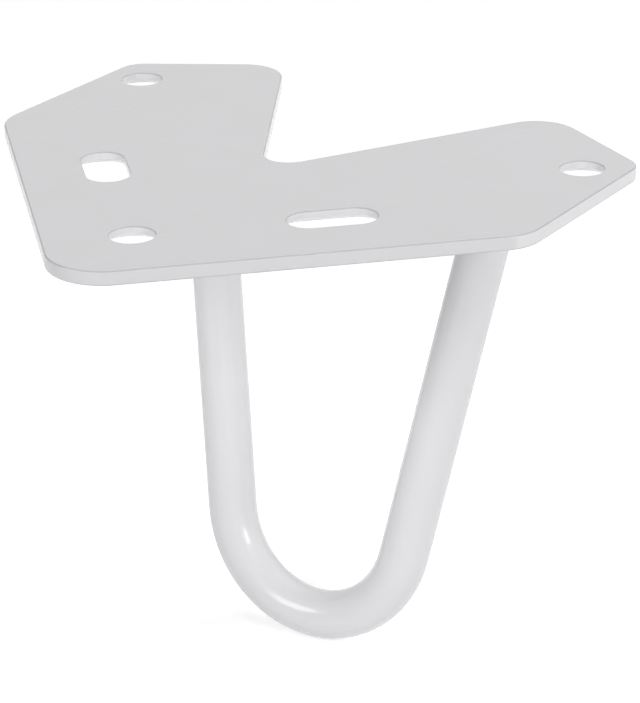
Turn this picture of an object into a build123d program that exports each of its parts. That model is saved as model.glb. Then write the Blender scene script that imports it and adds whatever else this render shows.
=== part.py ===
from build123d import *
from math import acos, atan2, cos, hypot, radians, sin, sqrt, tan
import os

# A short hairpin leg for the corner of a table or cabinet: a flat L-shaped mounting plate with one
# round rod, bent into a hairpin, welded under it so that it leans out towards the corner.
# Sizes are in millimetres and degrees. +Z is up. The origin is on the plate's top face, on the axis
# of the corner screw hole, and X and Y run along the plate's two straight outer edges.
# The leg is its own mirror image across the upright plane where X equals Y.

# Mounting plate, measured inward from its two straight outer edges
plate_thickness = 2.7
edge_rounding = 0.4
straight_edge_length = 80.6
tip_cut = 28.5
notch_depth = 42.6
arm_flare = 15.0
outer_corner_radius = 10.5
cut_corner_radius = 9.0
tip_radius = 5.0
shoulder_radius = 8.0
notch_radius = 4.6

# Screw holes and slots
screw_hole_diameter = 8.0
slot_width = 8.0
slot_length = 16.0
hole_inset = 15.5
slot_spacing = 34.5
end_hole_setback = 10.7
end_hole_rise = 0.6
top_rim_break = 0.15
countersink_depth = 1.3
countersink_angle = 120

# Hairpin rod
rod_diameter = 9.5
overall_height = 101.6
leg_spacing = 66.5
legs_beyond_notch = 20.7
bend_radius = 20.3
hairpin_lean = 9.5

# Weld beads round the rod's two ends
weld_leg = 3.0
weld_toe = 0.3
weld_crown = 0.25

rod_radius = rod_diameter / 2
underside = -plate_thickness
half_root = sqrt(0.5)


def from_edges(along, inward):
    """A point of the right-hand arm, from its distances to the two straight outer edges."""
    return Vector(along - hole_inset, inward - hole_inset, 0)


def mirrored(point):
    """The same point on the other arm, across the plane where X equals Y."""
    return Vector(point.Y, point.X, point.Z)


# The plate's outline

def arm_corners():
    """The right-hand arm's sharp corners and their radii: cut, tip and shoulder."""
    notch = from_edges(notch_depth, notch_depth)
    cut = from_edges(straight_edge_length, 0)
    tip = from_edges(straight_edge_length + tip_cut, tip_cut)
    # The inner edge flares away from the outer one, and the arm's end is square to it.
    flare = Vector(cos(radians(arm_flare)), sin(radians(arm_flare)), 0)
    shoulder = notch + flare * (tip - notch).dot(flare)
    return [(cut, cut_corner_radius), (tip, tip_radius), (shoulder, shoulder_radius)]


def plate_outline():
    right = arm_corners()
    left = [(mirrored(corner), radius) for corner, radius in reversed(right)]
    outer = [(from_edges(0, 0), outer_corner_radius)]
    notch = [(from_edges(notch_depth, notch_depth), notch_radius)]
    corners = outer + right + notch + left
    outline = make_face(Polyline(*[corner for corner, radius in corners], close=True))
    for corner, radius in corners:
        outline = fillet(outline.vertices().sort_by_distance(corner)[0], radius)
    return outline


# Openings in the plate

def end_hole_centre():
    """The hole near the arm's tip."""
    tip_along = straight_edge_length + tip_cut
    return from_edges(tip_along - end_hole_setback, tip_cut + end_hole_rise)


def slot_centre():
    """The slot in the right-hand arm, in line with the corner hole."""
    return from_edges(hole_inset + slot_spacing, hole_inset)


def plate_openings():
    hole = Circle(screw_hole_diameter / 2)
    slot = SlotOverall(slot_length, slot_width)
    corner_hole = hole
    right = Pos(end_hole_centre()) * hole + Pos(slot_centre()) * slot
    left = Pos(mirrored(end_hole_centre())) * hole + Pos(mirrored(slot_centre())) * Rot(Z=90) * slot
    return corner_hole + right + left


def broad_faces(sheet):
    """The plate's underside and its top face."""
    faces = sheet.faces().sort_by(Axis.Z)
    return [faces[0], faces[-1]]


def opening_edges(face):
    return [edge for rim in face.inner_wires() for edge in rim.edges()]


def make_mounting_plate():
    """Sheet metal of one thickness, rounded all round, with openings sunk where screws go in."""
    sheet = extrude(plate_outline() - plate_openings(), -plate_thickness)
    outer_edges = [edge for face in broad_faces(sheet) for edge in face.outer_wire().edges()]
    sheet = fillet(outer_edges, edge_rounding)
    sheet = chamfer(opening_edges(broad_faces(sheet)[1]), top_rim_break)
    below = broad_faces(sheet)[0]
    width = countersink_depth * tan(radians(countersink_angle / 2))
    return chamfer(opening_edges(below), width, countersink_depth, reference=below)


# The hairpin's leaning plane

def legs_midpoint():
    """The point midway between the rod's two ends, on the plate's underside."""
    centre = from_edges(notch_depth + legs_beyond_notch, notch_depth + legs_beyond_notch)
    return centre + Vector(0, 0, underside)


def hairpin_plane():
    """X runs from the left leg to the right one, and Y runs down the lean to the floor."""
    across = Vector(half_root, -half_root, 0)
    lean = radians(hairpin_lean)
    down = Vector(-sin(lean) * half_root, -sin(lean) * half_root, -cos(lean))
    return Plane(origin=legs_midpoint(), x_dir=across, z_dir=across.cross(down))


def hairpin_sizes():
    """In the leaning plane: the bend's centre, and where the right leg runs into the bend."""
    drop = (overall_height - rod_radius - plate_thickness) / cos(radians(hairpin_lean))
    bend_centre = drop - bend_radius
    to_foot = hypot(leg_spacing / 2, bend_centre)
    # The leg is the tangent from its foot on the plate to the bend's circle.
    turn = atan2(-bend_centre, leg_spacing / 2) + acos(bend_radius / to_foot)
    tangent = (bend_radius * cos(turn), bend_centre + bend_radius * sin(turn))
    return bend_centre, tangent


def leg_axis():
    """The right leg's foot on the plate's underside, and the direction of its axis, downwards."""
    bend_centre, tangent = hairpin_sizes()
    plane = hairpin_plane()
    foot = plane.from_local_coords((leg_spacing / 2, 0, 0))
    end = plane.from_local_coords((tangent[0], tangent[1], 0))
    return foot, (end - foot).normalized()


def under_the_plate(solid):
    """What lies above the plate's underside is cut off, so that the ends seat flat against it."""
    size = overall_height * 2
    cutter = Pos(legs_midpoint()) * Box(size, size, size, align=(Align.CENTER, Align.CENTER, Align.MIN))
    return solid - cutter


def make_hairpin_rod():
    """One round bar: straight leg, bend, straight leg, with both ends cut to the plate's slope."""
    bend_centre, tangent = hairpin_sizes()
    foot, down = leg_axis()
    # Each leg starts a diameter above the underside, and is then cut flush with it.
    start = foot - down * rod_diameter
    finish = mirrored(start)
    plane = hairpin_plane()
    right_tangent = plane.from_local_coords((tangent[0], tangent[1], 0))
    left_tangent = mirrored(right_tangent)
    lowest = plane.from_local_coords((0, bend_centre + bend_radius, 0))
    path = Wire([
        Edge.make_line(start, right_tangent),
        Edge.make_three_point_arc(right_tangent, lowest, left_tangent),
        Edge.make_line(left_tangent, finish),
    ])
    section = Plane(origin=start, z_dir=down) * Circle(rod_radius)
    return under_the_plate(sweep(section, path=path))


# Welds

def weld_section(depth, stand_off):
    """The bead's outline on a level plane below the plate: the slanted rod's ellipse, grown."""
    foot, down = leg_axis()
    centre = foot + down * (depth / -down.Z)
    slope = Vector(down.X, down.Y, 0)
    section = Plane(origin=centre, x_dir=slope, z_dir=(0, 0, 1))
    return section * Ellipse(rod_radius / -down.Z + stand_off, rod_radius + stand_off)


def make_weld_bead():
    """A fillet weld round the right leg's foot: wide at the plate, thin where it ends on the rod."""
    middle = (weld_leg + weld_toe) / 2 + weld_crown
    sections = [
        weld_section(0, weld_leg),
        weld_section(weld_leg / 2, middle),
        weld_section(weld_leg, weld_toe),
    ]
    return loft(sections, ruled=True) - make_hairpin_rod()


def across_the_mirror(solid):
    """The same solid on the other side of the plane where X equals Y."""
    return solid.mirror(Plane(origin=(0, 0, 0), z_dir=(1, -1, 0)))


right_bead = make_weld_bead()
parts = {
    "mounting_plate": make_mounting_plate(),
    "hairpin_rod": make_hairpin_rod(),
    "weld_bead_right": right_bead,
    "weld_bead_left": across_the_mirror(right_bead),
}

os.makedirs("parts", exist_ok=True)
for name, solid in parts.items():
    export_step(solid, f"parts/{name}.step")
    print(name, "volume", round(solid.volume, 1), "size", solid.bounding_box().size)
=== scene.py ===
# %% [markdown]
# A short hairpin leg in glossy white powder coat
#
# The leg is a small weldment: a flat steel plate cut to an L with flared arms, and one round bar that is
# bent into a hairpin and welded under it. The solids come from the frame and are never moved or
# changed. This lesson dresses them in their coat, lays the two weld beads, and adds the floor, the
# lamps and the camera.

# %% Load the fixed frame
from math import atan, cos, degrees, pi, radians, sin

import bpy
import numpy as np
from mathutils import Matrix, Vector


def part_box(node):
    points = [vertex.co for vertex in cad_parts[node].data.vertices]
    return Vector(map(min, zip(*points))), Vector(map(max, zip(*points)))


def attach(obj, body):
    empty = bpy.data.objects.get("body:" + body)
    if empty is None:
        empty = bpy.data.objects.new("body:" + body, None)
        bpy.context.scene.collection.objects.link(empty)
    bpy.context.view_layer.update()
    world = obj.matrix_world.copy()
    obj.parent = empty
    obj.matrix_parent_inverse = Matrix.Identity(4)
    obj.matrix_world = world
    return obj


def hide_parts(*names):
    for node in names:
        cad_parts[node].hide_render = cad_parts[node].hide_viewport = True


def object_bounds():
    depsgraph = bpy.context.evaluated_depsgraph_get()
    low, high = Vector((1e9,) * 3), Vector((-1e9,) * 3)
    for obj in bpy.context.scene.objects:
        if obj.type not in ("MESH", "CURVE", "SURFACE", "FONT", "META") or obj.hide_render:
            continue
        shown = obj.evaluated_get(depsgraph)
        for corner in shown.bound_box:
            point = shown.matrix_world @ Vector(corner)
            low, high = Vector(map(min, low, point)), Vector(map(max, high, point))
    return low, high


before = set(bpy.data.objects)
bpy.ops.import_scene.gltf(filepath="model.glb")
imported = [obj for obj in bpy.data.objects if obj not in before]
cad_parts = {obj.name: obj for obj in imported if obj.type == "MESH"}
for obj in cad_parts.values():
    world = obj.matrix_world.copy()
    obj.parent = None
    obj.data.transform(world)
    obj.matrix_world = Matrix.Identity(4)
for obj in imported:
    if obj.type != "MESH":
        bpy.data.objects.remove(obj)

MM = 0.001
FULL_TURN = 2 * pi
WHITE = (1.0, 1.0, 1.0, 1.0)
scene = bpy.context.scene
cad_low, cad_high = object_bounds()
print("the solids lie between", tuple(cad_low), "and", tuple(cad_high))

# %% [markdown]
# The photograph's viewpoint
#
# The picture is 640 pixels wide and 703 high, and it was taken from a little above the plate. A camera
# can be placed by eye, or worked out from the outlines of something whose shape is known. The second
# way was used here, because the plate's outline and its five openings fix the view closely: the place
# and the angles below are measured ones. The film's length lies along the picture's longer side.

# %% The camera
PICTURE_WIDTH = 640
PICTURE_HEIGHT = 703
CAMERA_PLACE = Vector((-53.834, -429.125, 168.25)) * MM
CAMERA_HEADING = radians(11.313)
CAMERA_DIP = radians(23.802)
CAMERA_ROLL = radians(-0.774)
CAMERA_LENS = 140.55
FILM_SIZE = 36.0
NEAREST_SEEN = 20 * MM
FARTHEST_SEEN = 20.0


def add_camera():
    """Turn the camera from looking straight down: first its roll, then its dip, then its heading."""
    data = bpy.data.cameras.new("photo_camera")
    data.sensor_width = FILM_SIZE
    data.lens = CAMERA_LENS
    data.clip_start = NEAREST_SEEN
    data.clip_end = FARTHEST_SEEN
    camera = bpy.data.objects.new("photo_camera", data)
    heading = Matrix.Rotation(-CAMERA_HEADING, 4, "Z")
    dip = Matrix.Rotation(pi / 2 - CAMERA_DIP, 4, "X")
    roll = Matrix.Rotation(CAMERA_ROLL, 4, "Z")
    camera.matrix_world = Matrix.Translation(CAMERA_PLACE) @ heading @ dip @ roll
    scene.collection.objects.link(camera)
    scene.camera = camera


def degrees_seen(pixels):
    """How wide a row of pixels looks: twice the arctangent of half its film over the lens's length."""
    film = FILM_SIZE * pixels / PICTURE_HEIGHT
    return round(degrees(2 * atan(film / 2 / CAMERA_LENS)), 1)


add_camera()
print("the camera sees", degrees_seen(PICTURE_WIDTH), "by", degrees_seen(PICTURE_HEIGHT), "degrees")

# %% [markdown]
# Shader maths as plain expressions
#
# A material is a graph of nodes. Wiring each node by hand hides the idea behind it, so one small class
# wraps a socket. Adding or multiplying two of them adds the Math node that does it, and one method
# makes every other node: its settings go in first, because some of them change which sockets it has.


# %% A wrapped socket
class Field:
    """One value of a shader, such as a height or a mask, on which sums and products can be written."""

    def __init__(self, tree, socket=None):
        self.tree = tree
        self.socket = socket

    def node(self, kind, settings=None, inputs=None, output=0):
        """Any node: its kind, its settings, then its inputs as numbers, colours or other fields."""
        made = self.tree.nodes.new(kind)
        for name, value in (settings or {}).items():
            setattr(made, name, value)
        for name, value in (inputs or {}).items():
            if isinstance(value, Field):
                self.tree.links.new(value.socket, made.inputs[name])
            else:
                made.inputs[name].default_value = value
        return Field(self.tree, made.outputs[output])

    def math(self, operation, first, second):
        """One Math node on two numbers or fields."""
        return self.node("ShaderNodeMath", {"operation": operation}, {0: first, 1: second})

    def __add__(self, other):
        return self.math("ADD", self, other)

    def __radd__(self, other):
        return self.math("ADD", other, self)

    def __sub__(self, other):
        return self.math("SUBTRACT", self, other)

    def __rsub__(self, other):
        return self.math("SUBTRACT", other, self)

    def __mul__(self, other):
        return self.math("MULTIPLY", self, other)

    def __rmul__(self, other):
        return self.math("MULTIPLY", other, self)

    def larger(self, other):
        """The larger of two values, which joins two masks."""
        return self.math("MAXIMUM", self, other)

    def step(self, start, end):
        """0 at start and 1 at end, with a smooth ramp between them."""
        settings = {"interpolation_type": "SMOOTHSTEP"}
        return self.node("ShaderNodeMapRange", settings, {"Value": self, "From Min": start, "From Max": end})

    def vector(self, operation, second=(0, 0, 0), third=(0, 0, 0), output=0):
        """Vector Math on a position, which a plain Math node would turn into a number."""
        inputs = {0: self, 1: second, 2: third}
        return self.node("ShaderNodeVectorMath", {"operation": operation}, inputs, output)

    def noise(self, size, detail):
        """Cloudy noise from 0 to 1 on a position, with lumps of about the given size in metres."""
        inputs = {"Vector": self, "Scale": 1.0 / size, "Detail": detail}
        return self.node("ShaderNodeTexNoise", {"noise_dimensions": "3D"}, inputs)

    def mix(self, low, high):
        """A colour between two colours, by this field from 0 to 1. Sockets 6 and 7 are the colours."""
        return self.node("ShaderNodeMix", {"data_type": "RGBA"}, {0: self, 6: low, 7: high}, output=2)


def connect(field, node, name):
    """Lead a field to a named input of a node that is there already."""
    field.tree.links.new(field.socket, node.inputs[name])


# %% [markdown]
# Glossy white powder coat
#
# The real finish is a polymer powder that is sprayed on dry and baked, about 0.08 mm thick. It flows
# before it sets, so it shines and mirrors the lamps, with a faint orange peel that makes the edges of
# their images waver. A plain white would miss both. The coat is white by its colour and mirrors the
# lamps by its roughness, and two sizes of noise give its bump: the peel, and a finer grain. A third
# noise shifts the white by a hair in slow clouds. All of them read positions in metres on the piece
# itself, so they stay put from any side.

# %% The coat
COAT_WHITE = (0.836, 0.828, 0.848, 1.0)
COAT_SHADE = (0.826, 0.818, 0.836, 1.0)
# The grey of painted shade, mixed into the coat wherever a mask says so.
PAINTED_SHADE_GREY = (0.58, 0.57, 0.588, 1.0)
COAT_ROUGHNESS = 0.165
COAT_ROUGHNESS_SPREAD = 0.04
GLOSS_LEVEL = 0.5
CLOUD_SIZE = 14 * MM
CLOUD_LOW, CLOUD_HIGH = 0.3, 0.7
PEEL_SIZE, PEEL_HEIGHT = 1.6 * MM, 0.028 * MM
GRAIN_SIZE, GRAIN_HEIGHT = 0.25 * MM, 0.0009 * MM


def powder_coat(name, painted_shade_mask=None):
    """The coat on one kind of piece. Where the mask is 1 it is grey: painted shade."""
    material = bpy.data.materials.new(name)
    material.use_nodes = True
    tree = material.node_tree
    shader = tree.nodes["Principled BSDF"]
    shader.inputs["Specular IOR Level"].default_value = GLOSS_LEVEL
    place = Field(tree).node("ShaderNodeTexCoord", output="Object")
    cloud = place.noise(CLOUD_SIZE, detail=3.0)
    peel = place.noise(PEEL_SIZE, detail=1.0)
    grain = place.noise(GRAIN_SIZE, detail=1.0)
    colour = cloud.step(CLOUD_LOW, CLOUD_HIGH).mix(COAT_SHADE, COAT_WHITE)
    if painted_shade_mask:
        colour = painted_shade_mask(place).mix(colour, PAINTED_SHADE_GREY)
    height = peel * PEEL_HEIGHT + grain * GRAIN_HEIGHT
    bump = place.node("ShaderNodeBump", inputs={"Height": height, "Distance": 1.0, "Strength": 1.0})
    connect(colour, shader, "Base Color")
    connect(COAT_ROUGHNESS + (grain - 0.5) * COAT_ROUGHNESS_SPREAD, shader, "Roughness")
    connect(bump, shader, "Normal")
    print("material", name, "has", len(tree.nodes), "nodes")
    return material


def dress(node, material):
    """Give a solid its finish, which leaves its shape and place alone."""
    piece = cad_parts[node]
    piece.data.materials.clear()
    piece.data.materials.append(material)
    print("dressed", node, "in", material.name)


# %% [markdown]
# The coat on the bar
#
# The bar is drawn round and smooth and has no edge that shows, so its coat has no mask.

# %% Dress the bar
dress("hairpin_rod", powder_coat("bar_coat"))

# %% [markdown]
# The coat on the plate
#
# The coat draws back from sharp edges before it sets, and the steel shows through a touch greyer: a
# A fine line of painted shade runs along the plate's top edge and along its underside edge, a grey that
# darkens the edges. Geometry's Pointiness could find such edges, but it depends on the mesh. Height
# alone finds them here, because the plate lies level: each line is a narrow strip, just below the top
# face or just above the underside.
# The plate's two long straight sides carry painted shade as well, which makes them a little greyer all
# over. It is found as the distance from the middle of the outer corner's arc, counted only outward,
# which is the same all along the two straight sides and round the corner between them.

# %% The painted shade along the plate's edges
# Where the lines of painted shade along the plate's top and underside edges begin, fade and end.
LINE_START, LINE_FULL = 0.02 * MM, 0.04 * MM
TOP_LINE_FADES, TOP_LINE_END = 0.2 * MM, 0.32 * MM
LOW_LINE_FADES, LOW_LINE_END = 0.26 * MM, 0.38 * MM
LOW_LINE_STRENGTH = 0.75
plate_low, plate_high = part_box("mounting_plate")


def shade_strip(depth, fades, end):
    """1 on a narrow strip just past an edge, where depth is the distance beyond that edge."""
    return depth.step(LINE_START, LINE_FULL) - depth.step(fades, end)


def painted_edge_shade(place):
    """The fine lines of painted shade along the edges, from the height of each point on the plate."""
    level = place.node("ShaderNodeSeparateXYZ", inputs={"Vector": place}, output="Z")
    top_shade = shade_strip(plate_high.z - level, TOP_LINE_FADES, TOP_LINE_END)
    low_shade = shade_strip(level - plate_low.z, LOW_LINE_FADES, LOW_LINE_END)
    return top_shade + low_shade * LOW_LINE_STRENGTH


print("the plate is", round((plate_high.z - plate_low.z) / MM, 2), "mm thick")

# %% The painted shade on the plate's straight sides
OUTER_CORNER_RADIUS = 10.5 * MM
# Painted shade on the plate's two long sides: how far in it reaches, and how strong it is.
SIDE_SHADE_DEPTH = 0.25 * MM
SIDE_SHADE_GREY = 0.38
corner_middle = (plate_low.x + OUTER_CORNER_RADIUS, plate_low.y + OUTER_CORNER_RADIUS, 0)


def painted_side_shade(place):
    """1 on the two long straight sides and the corner between them, and 0 a little further in."""
    outward = place.vector("MULTIPLY_ADD", (-1, -1, 0), corner_middle).vector("MAXIMUM")
    distance = outward.vector("LENGTH", output="Value")
    return distance.step(OUTER_CORNER_RADIUS - SIDE_SHADE_DEPTH, OUTER_CORNER_RADIUS)


def plate_shade_mask(place):
    """The plate's painted shade: its fine lines, and its two long straight sides, more faintly."""
    return painted_edge_shade(place).larger(painted_side_shade(place) * SIDE_SHADE_GREY)


dress("mounting_plate", powder_coat("plate_coat", plate_shade_mask))

# %% [markdown]
# The weld beads
#
# Each end of the bar is held by a fillet weld: a ring of metal laid in one pass round the joint. The
# torch's small steps leave a stack of overlapping crescents, and the ring ends in a short lap over
# its own start. A swept circle would be too regular, and bump alone would leave the outline smooth.
# So the bead is a grid: one parameter goes round the bar, and the other one across the bead's face,
# from its toe on the plate to its toe on the bar.
#
# The frame's own plain bead says where the ring lies: its level top is a ring round the bar's foot on
# the plate, and its lower end is a smaller ring further down the bar.

# %% Where the bar meets the plate
SAME_LEVEL = 0.001 * MM


def ring_at(points, level):
    """The points of a mesh that lie at one height, and their middle."""
    ring = points[np.isclose(points[:, 2], level, atol=SAME_LEVEL)]
    return ring, (ring.min(axis=0) + ring.max(axis=0)) / 2


def read_bead(node):
    """The bar's foot, its direction and radius, and the bead's leg, all read from the plain bead."""
    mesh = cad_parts[node].data
    points = np.empty(len(mesh.vertices) * 3)
    mesh.vertices.foreach_get("co", points)
    points = points.reshape(-1, 3)
    top_ring, foot = ring_at(points, points[:, 2].max())
    low_middle = ring_at(points, points[:, 2].min())[1]
    down = (low_middle - foot) / np.linalg.norm(low_middle - foot)
    # The solid is open for the bar, so the ring's nearest points lie on the bar.
    radius = np.linalg.norm(top_ring - foot, axis=1).min()
    # Square to the bar's slope, the ring's half width is the bar's radius and the bead's leg.
    across = np.array([-down[1], down[0], 0.0])
    across /= np.linalg.norm(across)
    leg = ((top_ring - foot) @ across).max() - radius
    print(node, "leg", round(leg / MM, 2), "mm on a bar of radius", round(radius / MM, 2), "mm")
    return foot, down, radius, leg


# %% [markdown]
# The line that the torch follows
#
# The bar is round but leans, so it meets the level plate in an ellipse. A curve object could be bent to
# it, but then the directions square to it would have to be read back. With numpy, one array of angles
# gives every point of the line and every direction at once.

# %% The joint
ROUND_STEPS = 720


def joint_ring(turn, down, radius):
    """The joint round the bar's foot, and the level direction outward at each of its points.

    The ellipse is the cosine of the turn times its long half, which lies along the bar's slope, plus
    the sine times its short half, which is the bar's radius. Outward is the same sum with the two
    lengths swapped, brought to a length of one.
    """
    slope = np.array([down[0], down[1], 0.0])
    slope /= np.linalg.norm(slope)
    side = np.array([-slope[1], slope[0], 0.0])
    long_radius = radius / -down[2]
    along, across = np.cos(turn)[:, None] * slope, np.sin(turn)[:, None] * side
    ring = along * long_radius + across * radius
    outward = along * radius + across * long_radius
    return ring, outward / np.linalg.norm(outward, axis=1)[:, None]


print("the joint is followed in steps of", degrees(FULL_TURN / ROUND_STEPS), "degrees")

# %% [markdown]
# What the torch leaves along that line
#
# No hand is steady, so the toes waver. Random noise would not join up where the ring closes, but waves
# of which a whole number go round do. The ripples are counted the same way, and the lap is a bell
# curve round the place where the weld began.

# %% The toes, the lap and the ripples
TOE_WAVER = 0.025
# Each wave of the toes: how many go round, its share, and how often the start's angle is added to it.
TOE_WAVES = ((3, 1.0, 1), (7, 0.7, 2), (12, 0.5, 0))
# The lap's angle round the bar is in radians.
LAP_ANGLE = 0.18
LAP_SPREAD = 0.08
LAP_HEIGHT = 0.22 * MM
RIPPLE_PITCH = 1.25 * MM
RIPPLE_HEIGHT = 0.2 * MM
RIPPLE_BOW = 2.3 * MM
RIPPLE_LEAN = 0.7


def gone_round(turn, start):
    """How far the torch has gone when it is at an angle, from 0 to a full turn."""
    return (turn - start) % FULL_TURN


def lap_share(turn, start):
    """1 where the weld closes, and less on both sides of it, as a bell curve.

    It is e to the minus square of the angle from there, counted in lap angles.
    """
    gone = gone_round(turn, start)
    return np.exp(-(np.minimum(gone, FULL_TURN - gone) / LAP_ANGLE) ** 2)


def toe_reach(turn, start, leg):
    """How far the toes lie from the joint.

    It is the leg times a sum: 1, the waver times all the waves' sines, and the spread times the lap.
    """
    waves = sum(share * np.sin(count * turn + times * start) for count, share, times in TOE_WAVES)
    return leg * (1 + TOE_WAVER * waves + LAP_SPREAD * lap_share(turn, start))


def ripple_crests(turn, start, path_radius, across_face):
    """1 on the crest of each ripple and 0 between two of them, round the bar and across the face.

    The way round is counted in ripples. In the middle of the face the count lags by the bow, which
    bends each ripple to a crescent. Its fraction goes from 0 to 1 over one ripple, and the crest is
    the sine of pi times that fraction, raised first to a power that leans the crest forward.
    """
    distance = gone_round(turn, start) * path_radius
    ripples = round(distance.max() / RIPPLE_PITCH)
    count = (distance / distance.max() * ripples)[:, None] - (RIPPLE_BOW / RIPPLE_PITCH) * across_face
    return np.sin(pi * (count % 1.0) ** RIPPLE_LEAN)


print("the ripples are", round(RIPPLE_PITCH / MM, 2), "mm apart and", round(RIPPLE_HEIGHT / MM, 2), "mm high")

# %% [markdown]
# The bead's face
#
# A weld's face bulges between its toes. A quarter of a circle would bulge too much and a straight line
# not at all, so a curve between the two is used, whose one number says how plump it is. Behind the
# face, the ring is closed inside the steel, where nothing shows.

# %% The grid of one bead
FACE_STEPS = 24
FACE_BULGE = 1.4
SINK = 0.25 * MM
TOE_SINK = 0.04 * MM


def bead_grid(foot, down, radius, leg, start):
    """The bead's grid of points, and how deep each one lies between two ripples, from 0 to 1.

    From the joint, the toe on the plate lies one reach outward, and the toe on the bar one reach down
    it. Between them p ** bulge + q ** bulge = 1, where p is the share of the reach outward and q the
    share down the bar. The ripples and the lap lift the face along the direction between the two.
    """
    turn = np.linspace(0, FULL_TURN, ROUND_STEPS, endpoint=False)
    angle = np.linspace(0, pi / 2, FACE_STEPS)
    across_face = np.sin(2 * angle)
    ring, outward = joint_ring(turn, down, radius)
    reach = toe_reach(turn, start, leg)[:, None]
    crest = ripple_crests(turn, start, radius + leg / 2, across_face)
    p, q = np.cos(angle) ** (2 / FACE_BULGE), np.sin(angle) ** (2 / FACE_BULGE)
    face = ring[:, None] + outward[:, None] * (reach * p)[..., None] + down * (reach * q)[..., None]
    away = outward[:, None] * np.cos(angle)[:, None] + down * np.sin(angle)[:, None]
    lift = (RIPPLE_HEIGHT * (crest - 0.5) + LAP_HEIGHT * lap_share(turn, start)[:, None]) * across_face
    face = face + away * lift[..., None]

    # Both toes dip a little into the steel, and the ring is closed inside the bar and the plate.
    face[:, 0, 2] += TOE_SINK
    face[:, -1] -= outward * TOE_SINK
    inward, upward = -outward[:, None] * SINK, np.array([0, 0, SINK])
    hidden = [face[:, -1:] + inward, ring[:, None] + inward + upward, face[:, :1] + upward]
    rows = np.concatenate([face, *hidden], axis=1) + foot
    valley = np.zeros(rows.shape[:2])
    valley[:, :FACE_STEPS] = (1 - crest) * across_face
    return rows, valley


print("halfway up the face, p and q are both", round(0.5 ** (1 / FACE_BULGE), 2))

# %% [markdown]
# From a grid to a mesh
#
# Each point of the grid makes a four-sided face with its next neighbours, and the grid closes on itself
# both ways, so the ring has no seam and no hole. Whether the faces look outward depends on which way
# round the grid runs, so that is measured and put right. The valleys go along as an attribute of the
# points, because a material can't know where one ripple ends.

# %% A closed grid
def closed_grid(name, rows, values):
    """A mesh whose grid closes on itself both ways, with its faces outward and one value a point.

    The volume's sign tells which way the faces look. It is the sign of the sum, over all faces with
    corners a, b, c and d, of a times the cross product of c - a and d - b.
    """
    around, across = rows.shape[:2]
    i, j = np.meshgrid(np.arange(around), np.arange(across), indexing="ij")
    i_next, j_next = (i + 1) % around, (j + 1) % across
    corners = [i * across + j, i_next * across + j, i_next * across + j_next, i * across + j_next]
    faces = np.stack(corners, axis=-1).reshape(-1, 4)
    points = rows.reshape(-1, 3)
    a, b, c, d = (points[faces[:, k]] - points.mean(axis=0) for k in range(4))
    if np.einsum("ij,ij->i", a, np.cross(c - a, d - b)).sum() < 0:
        faces = faces[:, ::-1]
    mesh = bpy.data.meshes.new(name)
    mesh.from_pydata(points.tolist(), [], faces.tolist())
    mesh.polygons.foreach_set("use_smooth", np.ones(len(faces), dtype=bool))
    depth = mesh.attributes.new("valley", "FLOAT", "POINT")
    depth.data.foreach_set("value", values.reshape(-1).astype(np.float32))
    piece = bpy.data.objects.new(name, mesh)
    scene.collection.objects.link(piece)
    print(name, "has", len(points), "points")
    return piece


# %% [markdown]
# The coat on the beads
#
# The beads' coat is the same as the bar's, with painted shade between two ripples: the valleys are its
# mask. Each bead starts at another angle, because no two welds begin at the same place.

# %% Lay the two beads
# How strong the painted shade between the weld's ripples is.
VALLEY_SHADE = 0.25
# For each plain bead: the name of the ripply one, and the angle where the torch starts, in radians.
BEADS = {"weld_bead_right": ("weld_right", 2.2), "weld_bead_left": ("weld_left", 5.1)}


def valley_shade_mask(place):
    """Light painted shade between the ripples, from the points' own attribute."""
    return place.node("ShaderNodeAttribute", {"attribute_name": "valley"}, output="Fac") * VALLEY_SHADE


weld_coat = powder_coat("weld_coat", valley_shade_mask)
for node, (name, start) in BEADS.items():
    rows, valley = bead_grid(*read_bead(node), start)
    bead = closed_grid(name, rows, valley)
    bead.data.materials.append(weld_coat)
    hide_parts(node)
    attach(bead, "root")

# %% [markdown]
# The floor
#
# The leg stands on a plain white floor, which has to look as white as the picture's background. More
# lamp light would do it, but it would bleach the leg. Instead the floor glows a little, and only for
# the camera and for mirror-like rays, so it brightens nothing else and the leg's soft shadow stays.
# From below, the floor is clear, so that the underside and its welds can be looked at.

# %% Rays that see a surface directly
def seen_directly(tree):
    """1 for rays from the camera and for mirror-like ones, 0 for the light that falls on things."""
    def ray(kind):
        return Field(tree).node("ShaderNodeLightPath", output=kind)

    return ray("Is Camera Ray").larger(ray("Is Glossy Ray")).larger(ray("Is Transmission Ray"))


# %% Lay the floor
FLOOR_LEVEL = cad_low.z
FLOOR_HALF = 3.0
FLOOR_WHITE = (0.86, 0.86, 0.86, 1.0)
FLOOR_GLOW = 0.5


def white_floor():
    """Matt white with a little glow from above, and clear from below."""
    material = bpy.data.materials.new("white_floor")
    material.use_nodes = True
    tree = material.node_tree
    tree.nodes.remove(tree.nodes["Principled BSDF"])
    start = Field(tree)
    strength = seen_directly(tree) * FLOOR_GLOW
    matt = start.node("ShaderNodeBsdfDiffuse", inputs={"Color": FLOOR_WHITE})
    glow = start.node("ShaderNodeEmission", inputs={"Color": WHITE, "Strength": strength})
    above = start.node("ShaderNodeAddShader", inputs={0: matt, 1: glow})
    below = start.node("ShaderNodeBsdfTransparent", inputs={"Color": WHITE})
    from_below = start.node("ShaderNodeNewGeometry", output="Backfacing")
    surface = start.node("ShaderNodeMixShader", inputs={0: from_below, 1: above, 2: below})
    connect(surface, tree.nodes["Material Output"], "Surface")
    return material


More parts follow.
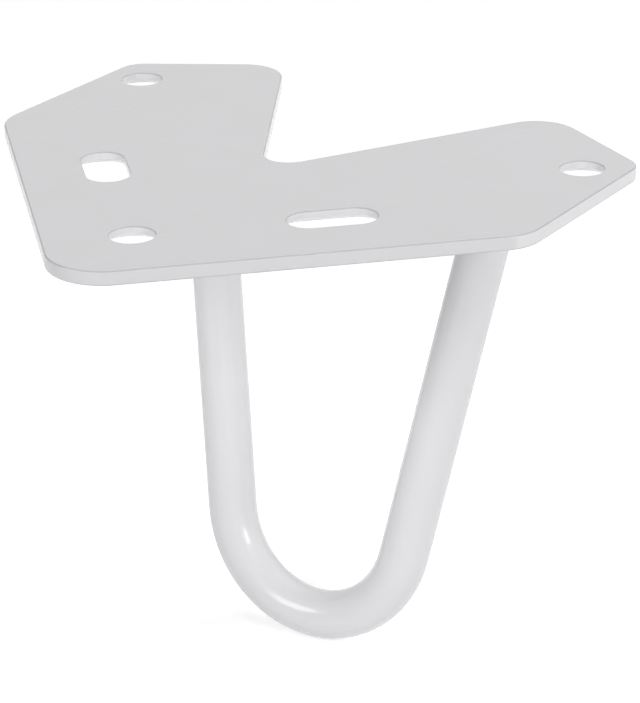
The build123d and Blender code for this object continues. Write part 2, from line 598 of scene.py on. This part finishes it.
def add_floor():
    """One large square at the height of the bend's lowest point."""
    mesh = bpy.data.meshes.new("floor")
    sides = ((-1, -1), (1, -1), (1, 1), (-1, 1))
    corners = [(x * FLOOR_HALF, y * FLOOR_HALF, FLOOR_LEVEL) for x, y in sides]
    mesh.from_pydata(corners, [], [(0, 1, 2, 3)])
    mesh.materials.append(white_floor())
    floor = bpy.data.objects.new("floor", mesh)
    scene.collection.objects.link(floor)
    print("the floor lies", round(-FLOOR_LEVEL / MM, 1), "mm below the plate's top face")


add_floor()

# %% [markdown]
# The white surroundings
#
# The world is white where it is seen or mirrored, and sheds only a little light, so that the lamps
# below still shape the leg. The same mask as the floor's tells the two apart.

# %% The sky
SKY_LIGHT = 0.05
SKY_SEEN = 1.0


def add_sky():
    """A world that looks white and gives little light."""
    world = bpy.data.worlds.new("white_surroundings")
    world.use_nodes = True
    background = world.node_tree.nodes["Background"]
    background.inputs["Color"].default_value = WHITE
    strength = SKY_LIGHT + seen_directly(world.node_tree) * (SKY_SEEN - SKY_LIGHT)
    connect(strength, background, "Strength")
    scene.world = world
    print("the sky looks", SKY_SEEN, "white and lights things at", SKY_LIGHT)


add_sky()

# %% [markdown]
# The lamps
#
# A glossy part is lit with large softboxes, whose images are the bright streaks on it. The photograph
# shows two such streaks, both on the bend, and otherwise soft light from many sides. An area lamp both
# lights and is mirrored, and Blender can part the two: a lamp's Diffuse visibility is the light that
# it sheds, and its Glossy visibility is its image. So only two lamps are mirrored. The left one is
# parted further: its image has to be strong to show on the bend, and so much light would bleach the
# plate's left side, so a weaker lamp gives its light. The others fill in without being mirrored.
#
# Their powers could be guessed one after the other. But light adds up, so each lamp was rendered alone
# once, and the powers are those whose sum comes nearest to the photograph's greys, with a few of
# them then changed a little one by one. The low lamp behind was added for the sake of the views from
# the back.

# %% A softbox
AIM = (cad_low + cad_high) / 2
NEAR_DISTANCE = 1.6
FILL_DISTANCE = 1.8
LOW_FILL = {"distance": FILL_DISTANCE, "width": 1.2, "tall": 0.4}
HIGH_FILL = {"distance": FILL_DISTANCE, "width": 1.0, "tall": 0.8}


def add_softbox(name, heading, height, power, distance, width, tall, lights=True, mirrored=False):
    """A flat softbox that looks at the object, in degrees, metres and watts.

    Heading 0 is in front and 90 on the right, and height is the angle above the level.
    """
    data = bpy.data.lights.new(name, "AREA")
    data.shape = "RECTANGLE"
    data.size = width
    data.size_y = tall
    data.energy = power
    lamp = bpy.data.objects.new(name, data)
    turn, lift = radians(heading), radians(height)
    away = Vector((sin(turn) * cos(lift), -cos(turn) * cos(lift), sin(lift)))
    lamp.location = AIM + away * distance
    lamp.rotation_euler = (-away).to_track_quat("-Z", "Y").to_euler()
    lamp.visible_camera = False
    lamp.visible_diffuse = lights
    lamp.visible_glossy = mirrored
    scene.collection.objects.link(lamp)
    print("softbox", name, "at", [round(v, 3) for v in lamp.location], "gives", power, "W")


# %% Set up the softboxes
add_softbox("key_front_right", heading=29.4, height=25.8, power=5.2, mirrored=True,
            distance=NEAR_DISTANCE, width=0.48, tall=0.48)
add_softbox("image_left", heading=-76, height=27, power=5.7, lights=False, mirrored=True,
            distance=NEAR_DISTANCE, width=0.62, tall=0.64)
add_softbox("fill_left", heading=-72, height=26.5, power=4.2,
            distance=NEAR_DISTANCE, width=0.8, tall=0.42)
add_softbox("fill_front", heading=0, height=8, power=4.4, **LOW_FILL)
add_softbox("fill_front_left", heading=-45, height=30, power=8.3, **HIGH_FILL)
add_softbox("fill_front_high", heading=45, height=58, power=4.7, **HIGH_FILL)
add_softbox("fill_right", heading=90, height=30, power=7.2, **HIGH_FILL)
add_softbox("fill_back_right", heading=135, height=58, power=5.3, **HIGH_FILL)
add_softbox("fill_back_low", heading=195, height=8, power=3.2, **LOW_FILL)

# %% [markdown]
# Colours as they are written
#
# Blender's usual view softens bright colours, which turns a white part grey. The Standard view shows
# each colour as the materials and lamps make it.

# %% The view
scene.view_settings.view_transform = "Standard"
print("the view is", scene.view_settings.view_transform)
